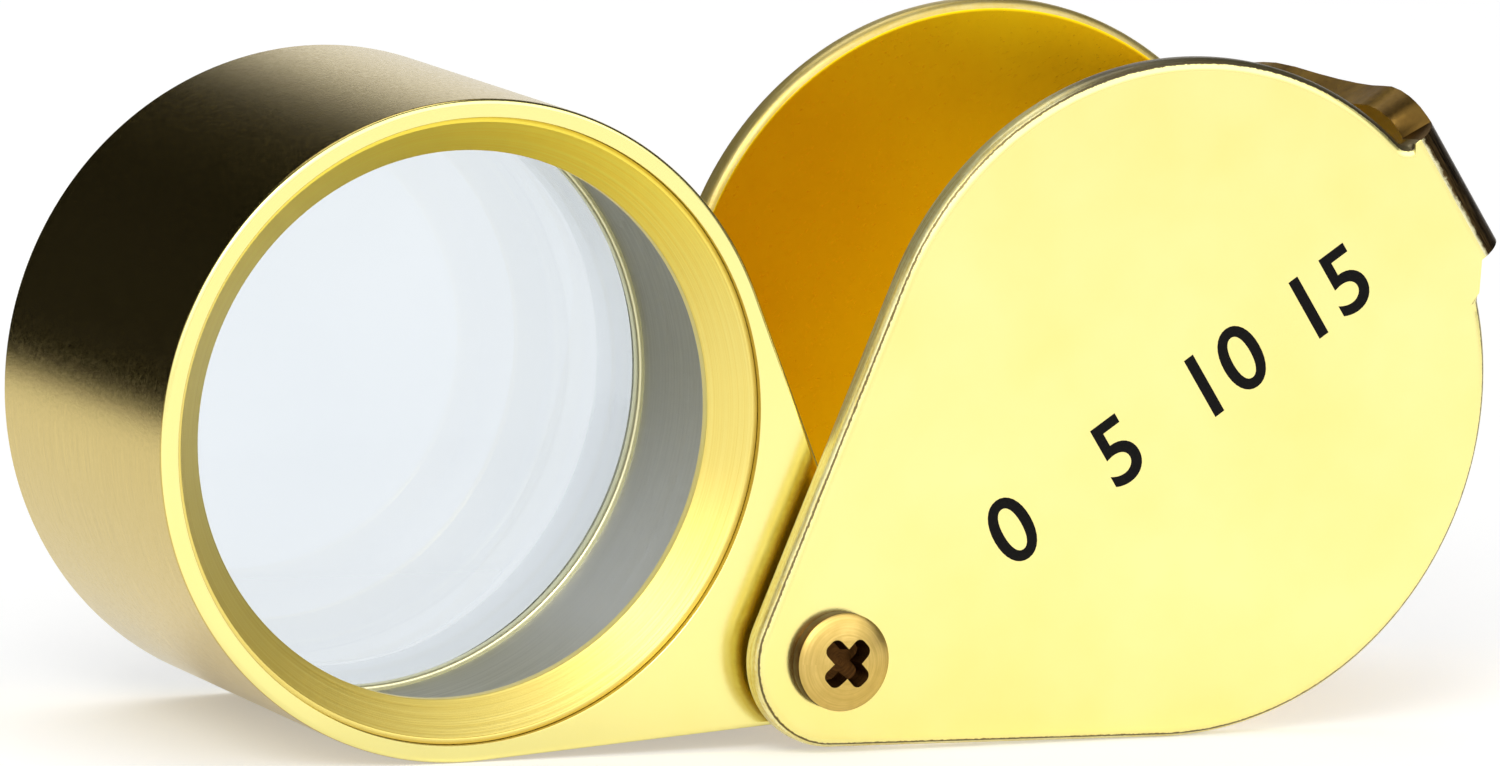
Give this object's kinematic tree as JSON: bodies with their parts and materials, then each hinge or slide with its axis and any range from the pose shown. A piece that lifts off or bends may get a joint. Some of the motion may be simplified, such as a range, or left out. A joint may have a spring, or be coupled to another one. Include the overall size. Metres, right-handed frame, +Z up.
{
  "type": "jeweler loupe",
  "caption": "Folding jeweler loupe: a round lens barrel on a screw pivot swings out of a two-cover gold case joined by a strap.",
  "frame": {"origin": "on the table under the middle of the open loupe", "axes": "+X along the open loupe from the barrel to the case's strap, +Y through its depth away from the side with the cross-head screw, +Z up"},
  "size_m": [0.0533, 0.02, 0.0251],
  "materials": {
    "case_gold": "polished gold plate",
    "screw_brass": "plain turned brass",
    "post_brass": "plain turned brass",
    "washer_steel": "plain steel",
    "spring_steel": "hardened spring steel",
    "barrel_gold": "polished gold-plated faces, satin side",
    "bush_bronze": "sintered bronze",
    "ring_gold": "circular-brushed gold plate",
    "tube_grey": "matte grey anodised",
    "clamp_brass": "polished brass",
    "lens_glass": "clear coated crown glass",
    "spacer_bright": "bright turned aluminium"
  },
  "bodies": {
    "case": {"case_shell": "case_gold", "pivot_screw": "screw_brass", "pivot_post": "post_brass", "front_washer": "washer_steel", "wave_washer": "spring_steel", "back_washer": "washer_steel"},
    "barrel": {"barrel_housing": "barrel_gold", "pivot_bush": "bush_bronze", "front_retaining_ring": "ring_gold", "spacer_tube": "tube_grey", "lens_clamp_ring": "clamp_brass", "front_lens": "lens_glass", "lens_spacer": "spacer_bright", "rear_lens": "lens_glass"}
  },
  "joints": [
    {"name": "barrel_swing", "type": "hinge", "parent": "case", "child": "barrel", "pos_m": [-0.00069, 0, 0.00348], "axis": [0, 1, 0], "continuous": true}
  ]
}
